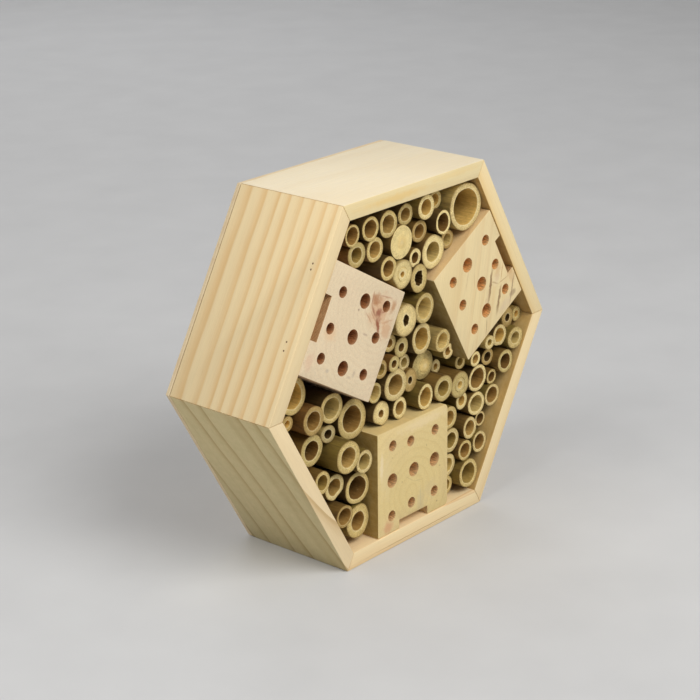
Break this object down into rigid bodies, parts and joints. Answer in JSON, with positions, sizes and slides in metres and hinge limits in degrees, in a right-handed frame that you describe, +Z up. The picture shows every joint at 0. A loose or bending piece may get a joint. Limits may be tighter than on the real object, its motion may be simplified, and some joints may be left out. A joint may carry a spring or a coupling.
{
  "type": "insect hotel",
  "caption": "Hexagonal wooden insect hotel: a mitred pine frame with drilled nesting blocks and a packing of cut bamboo tubes, open at the front.",
  "frame": {"origin": "middle of the underside of the bottom board, halfway between the front edge and the rear face", "axes": "+X to the right seen from the front, +Y from the open front to the back panel, +Z up"},
  "size_m": [0.2198, 0.0688, 0.1905],
  "materials": {
    "pine_board": "bare planed pine",
    "back_sheet": "bare thin plywood",
    "block_wood": "bare sawn softwood",
    "bamboo": "natural cut bamboo",
    "pin_steel": "dull wire"
  },
  "bodies": {
    "root": {"frame_top": "pine_board", "frame_upper_left": "pine_board", "frame_lower_left": "pine_board", "frame_bottom": "pine_board", "frame_lower_right": "pine_board", "frame_upper_right": "pine_board", "back_panel": "back_sheet", "block_left": "block_wood", "block_right": "block_wood", "block_bottom": "block_wood", "bamboo_centre_01": "bamboo", "bamboo_centre_02": "bamboo", "bamboo_centre_03": "bamboo", "bamboo_centre_04": "bamboo", "bamboo_centre_05": "bamboo", "bamboo_centre_06": "bamboo", "bamboo_centre_07": "bamboo", "bamboo_centre_08": "bamboo", "bamboo_centre_09": "bamboo", "bamboo_centre_10": "bamboo", "bamboo_centre_11": "bamboo", "bamboo_centre_12": "bamboo", "bamboo_centre_13": "bamboo", "bamboo_left_01": "bamboo", "bamboo_left_02": "bamboo", "bamboo_left_03": "bamboo", "bamboo_left_04": "bamboo", "bamboo_left_05": "bamboo", "bamboo_left_06": "bamboo", "bamboo_left_07": "bamboo", "bamboo_left_08": "bamboo", "bamboo_left_09": "bamboo", "bamboo_lower_01": "bamboo", "bamboo_lower_02": "bamboo", "bamboo_right_01": "bamboo", "bamboo_right_02": "bamboo", "bamboo_right_03": "bamboo", "bamboo_right_04": "bamboo", "bamboo_right_05": "bamboo", "bamboo_right_06": "bamboo", "bamboo_right_07": "bamboo", "bamboo_right_08": "bamboo", "bamboo_right_09": "bamboo", "bamboo_right_10": "bamboo", "bamboo_top_01": "bamboo", "bamboo_top_02": "bamboo", "bamboo_top_03": "bamboo", "bamboo_top_04": "bamboo", "bamboo_top_05": "bamboo", "bamboo_top_06": "bamboo", "bamboo_top_07": "bamboo", "bamboo_top_08": "bamboo", "bamboo_top_09": "bamboo", "bamboo_top_10": "bamboo", "pin_upper_a": "pin_steel", "pin_upper_b": "pin_steel", "pin_lower_a": "pin_steel", "pin_lower_b": "pin_steel"}
  },
  "joints": []
}
